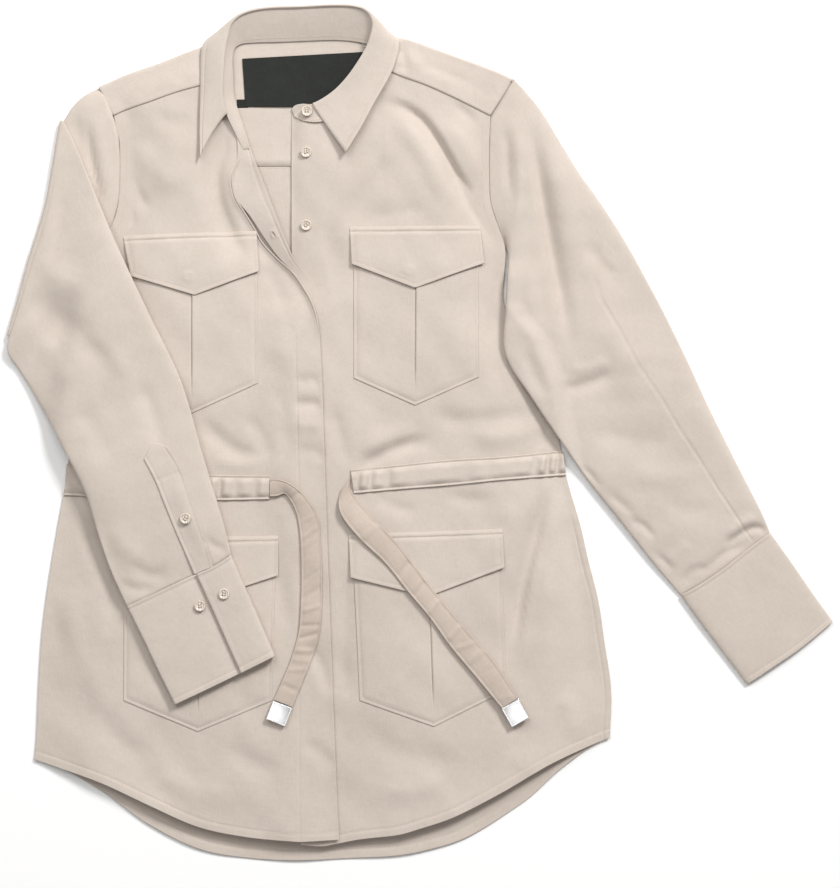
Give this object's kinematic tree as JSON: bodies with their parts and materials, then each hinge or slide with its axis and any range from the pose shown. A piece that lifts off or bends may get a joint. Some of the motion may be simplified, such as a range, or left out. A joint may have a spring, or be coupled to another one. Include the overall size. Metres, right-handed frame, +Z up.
{
  "type": "shirt-jacket",
  "caption": "Long-sleeved cotton shirt-jacket laid out flat, with point collar, flap pockets, waist ties and one sleeve folded over the front.",
  "frame": {"origin": "middle of the laid-out garment's outline, on the surface it lies on", "axes": "+Z up from the surface, +Y towards the collar, +X towards the wearer's left sleeve"},
  "size_m": [0.8276, 0.856, 0.0192],
  "materials": {
    "cotton": "matt, fine plain weave with a slight sheen",
    "twill_tape": "matt flat woven tape",
    "woven_label": "dark satin weave",
    "pearl_button": "pale pearly gloss",
    "polished_metal": "polished"
  },
  "bodies": {
    "root": {"back": "cotton", "yoke": "cotton", "front_right": "cotton", "fly_strip": "cotton", "front_left": "cotton", "collar_stand": "cotton", "collar_fall": "cotton", "neck_label": "woven_label", "size_tab": "woven_label", "chest_pocket_right": "cotton", "chest_flap_right": "cotton", "chest_pocket_left": "cotton", "chest_flap_left": "cotton", "lower_pocket_right": "cotton", "lower_flap_right": "cotton", "lower_pocket_left": "cotton", "lower_flap_left": "cotton", "casing_right": "cotton", "casing_left": "cotton", "tie_right": "twill_tape", "tie_left": "twill_tape", "tie_end_right": "polished_metal", "tie_end_left": "polished_metal", "sleeve_left": "cotton", "cuff_left": "cotton", "sleeve_right": "cotton", "cuff_right": "cotton", "sleeve_placket": "cotton", "button_stand": "pearl_button", "button_upper": "pearl_button", "button_lower": "pearl_button", "button_sleeve": "pearl_button", "button_cuff": "pearl_button", "button_under_cuff": "pearl_button"}
  },
  "joints": []
}
